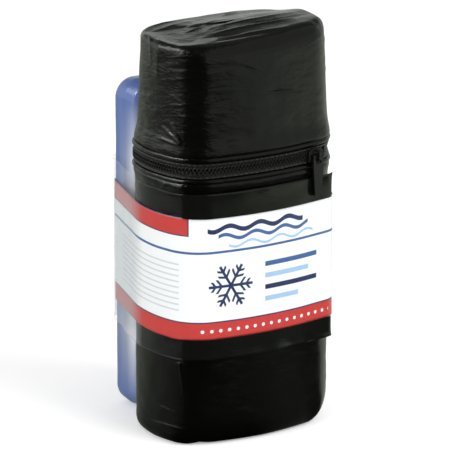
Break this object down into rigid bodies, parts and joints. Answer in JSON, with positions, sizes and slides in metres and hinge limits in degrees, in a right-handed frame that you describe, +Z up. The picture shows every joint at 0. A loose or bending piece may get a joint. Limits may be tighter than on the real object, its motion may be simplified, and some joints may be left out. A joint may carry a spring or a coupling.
{
  "type": "insulin cooling case",
  "caption": "Tall soft insulated case with an oval plan, a zip-round hinged lid and a divided inside, with its flat ice pack held behind it by a printed band and a clear film sleeve.",
  "frame": {"origin": "middle of the flat base of the case", "axes": "+Z up, +X towards the hinge end, -Y towards the front; the ice pack stands on the +Y side"},
  "size_m": [0.087, 0.0845, 0.1825],
  "materials": {
    "cover_fabric": "black woven nylon over foam",
    "foam": "closed-cell insulating foam",
    "lining_fabric": "coated grey lining cloth",
    "board": "stiff board",
    "binding_tape": "black woven tape",
    "coil_nylon": "black moulded nylon coil",
    "dark_metal": "black enamelled zinc",
    "pack_plastic": "blue blow-moulded plastic, satin",
    "gel": "frozen cooling gel",
    "printed_film": "white printed film with plain stripes",
    "clear_film": "clear shrink film"
  },
  "bodies": {
    "case_body": {"body_cover": "cover_fabric", "body_foam": "foam", "body_lining": "lining_fabric", "base_board": "board", "body_rim_binding": "binding_tape", "body_piping": "cover_fabric", "divider_panel": "lining_fabric", "lower_zip_tape": "binding_tape", "lower_coil_row": "coil_nylon", "lower_back_stop": "dark_metal", "lower_front_stop": "dark_metal", "lower_hinge_leaf": "cover_fabric", "printed_band": "printed_film", "clear_sleeve": "clear_film"},
    "lid": {"lid_cover": "cover_fabric", "lid_foam": "foam", "lid_lining": "lining_fabric", "lid_rim_binding": "binding_tape", "lid_piping": "cover_fabric", "upper_zip_tape": "binding_tape", "upper_coil_row": "coil_nylon", "upper_back_stop": "dark_metal", "upper_front_stop": "dark_metal", "upper_hinge_leaf": "cover_fabric"},
    "slider": {"zip_slider": "dark_metal"},
    "pull": {"zip_pull_tab": "dark_metal"},
    "ice_pack": {"ice_pack_shell": "pack_plastic", "ice_pack_gel": "gel", "ice_pack_plug": "pack_plastic"}
  },
  "joints": [
    {"name": "lid_hinge", "type": "hinge", "parent": "case_body", "child": "lid", "pos_m": [0.0423, 0, 0.126], "axis": [0, 1, 0], "range_deg": [0, 130]},
    {"name": "slider_run", "type": "hinge", "parent": "case_body", "child": "slider", "pos_m": [0, 0.1001, 0.126], "axis": [0, 0, -1], "range_deg": [0, 22]},
    {"name": "pull_swing", "type": "hinge", "parent": "slider", "child": "pull", "pos_m": [0.0254, -0.03059, 0.126], "axis": [-0.9816, -0.1908, 0], "range_deg": [0, 150]},
    {"name": "pack_lift", "type": "slide", "parent": "case_body", "child": "ice_pack", "axis": [0, 0, 1], "range_m": [0, 0.18]}
  ]
}
